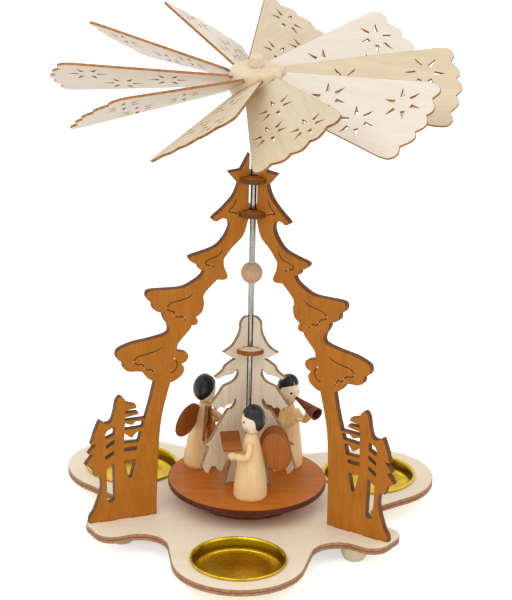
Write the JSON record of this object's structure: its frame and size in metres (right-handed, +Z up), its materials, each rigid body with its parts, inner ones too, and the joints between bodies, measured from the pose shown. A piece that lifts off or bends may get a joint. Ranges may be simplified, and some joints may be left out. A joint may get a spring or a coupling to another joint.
{
  "type": "rotating candle holder",
  "caption": "Wooden tea-light pyramid: fretted arms on a lobed board, and a bladed wheel that turns a round platform with a fir tree and small winged figures.",
  "frame": {"origin": "on the rotor's axis, at the underside of the base board, 8 mm above the surface that the feet stand on", "axes": "+Z up along the rotor's axis, -Y from the axis through the front tea-light cup"},
  "size_m": [0.1829, 0.1846, 0.2282],
  "materials": {
    "pale_plywood": "sanded and bare, with burnt cut edges",
    "blade_plywood": "sanded and bare, with burnt cut edges",
    "fir_plywood": "sanded and bare, with burnt cut edges",
    "stained_plywood": "brown stain, satin",
    "stained_wood": "brown stain, satin",
    "golden_wood": "golden stain, satin",
    "turned_wood": "turned, satin",
    "robe_wood": "turned, clear lacquer",
    "face_wood": "turned, clear lacquer",
    "ball_wood": "turned, satin",
    "black_lacquer": "black gloss lacquer",
    "brass": "bright",
    "steel": "bright drawn rod"
  },
  "bodies": {
    "stand": {"base_board": "pale_plywood", "rest_foot_left": "turned_wood", "rest_foot_right": "turned_wood", "rest_foot_back": "turned_wood", "tealight_cup_front": "brass", "tealight_cup_right": "brass", "tealight_cup_left": "brass", "thrust_cup": "brass", "arm_panel_left": "stained_plywood", "arm_panel_right": "stained_plywood", "star_disc": "stained_plywood", "neck_disc": "stained_plywood"},
    "rotor": {"shaft": "steel", "wheel_hub": "turned_wood", "hub_cap": "turned_wood", "blade_01": "blade_plywood", "blade_02": "blade_plywood", "blade_03": "blade_plywood", "blade_04": "blade_plywood", "blade_05": "blade_plywood", "blade_06": "blade_plywood", "blade_07": "blade_plywood", "blade_08": "blade_plywood", "blade_09": "blade_plywood", "blade_10": "blade_plywood", "shaft_ball": "ball_wood", "carousel_disc": "stained_plywood", "carousel_boss": "stained_plywood", "fir_panel_1": "fir_plywood", "fir_panel_2": "fir_plywood", "fir_panel_3": "fir_plywood", "fir_ring": "fir_plywood", "reader_robe": "robe_wood", "reader_head": "face_wood", "reader_hair": "black_lacquer", "reader_arm_1": "robe_wood", "reader_arm_2": "robe_wood", "reader_wing_1": "stained_wood", "reader_wing_2": "stained_wood", "reader_book": "stained_wood", "fiddler_robe": "robe_wood", "fiddler_head": "face_wood", "fiddler_hair": "black_lacquer", "fiddler_arm_1": "robe_wood", "fiddler_arm_2": "robe_wood", "fiddler_wing_1": "stained_wood", "fiddler_wing_2": "stained_wood", "fiddler_fiddle": "golden_wood", "hornist_robe": "robe_wood", "hornist_head": "face_wood", "hornist_hair": "black_lacquer", "hornist_arm_1": "robe_wood", "hornist_arm_2": "robe_wood", "hornist_wing_1": "stained_wood", "hornist_wing_2": "stained_wood", "hornist_horn": "stained_wood"}
  },
  "joints": [
    {"name": "rotor_spin", "type": "hinge", "parent": "stand", "child": "rotor", "pos_m": [0, 0, 0.0036], "axis": [0, 0, 1], "continuous": true}
  ]
}
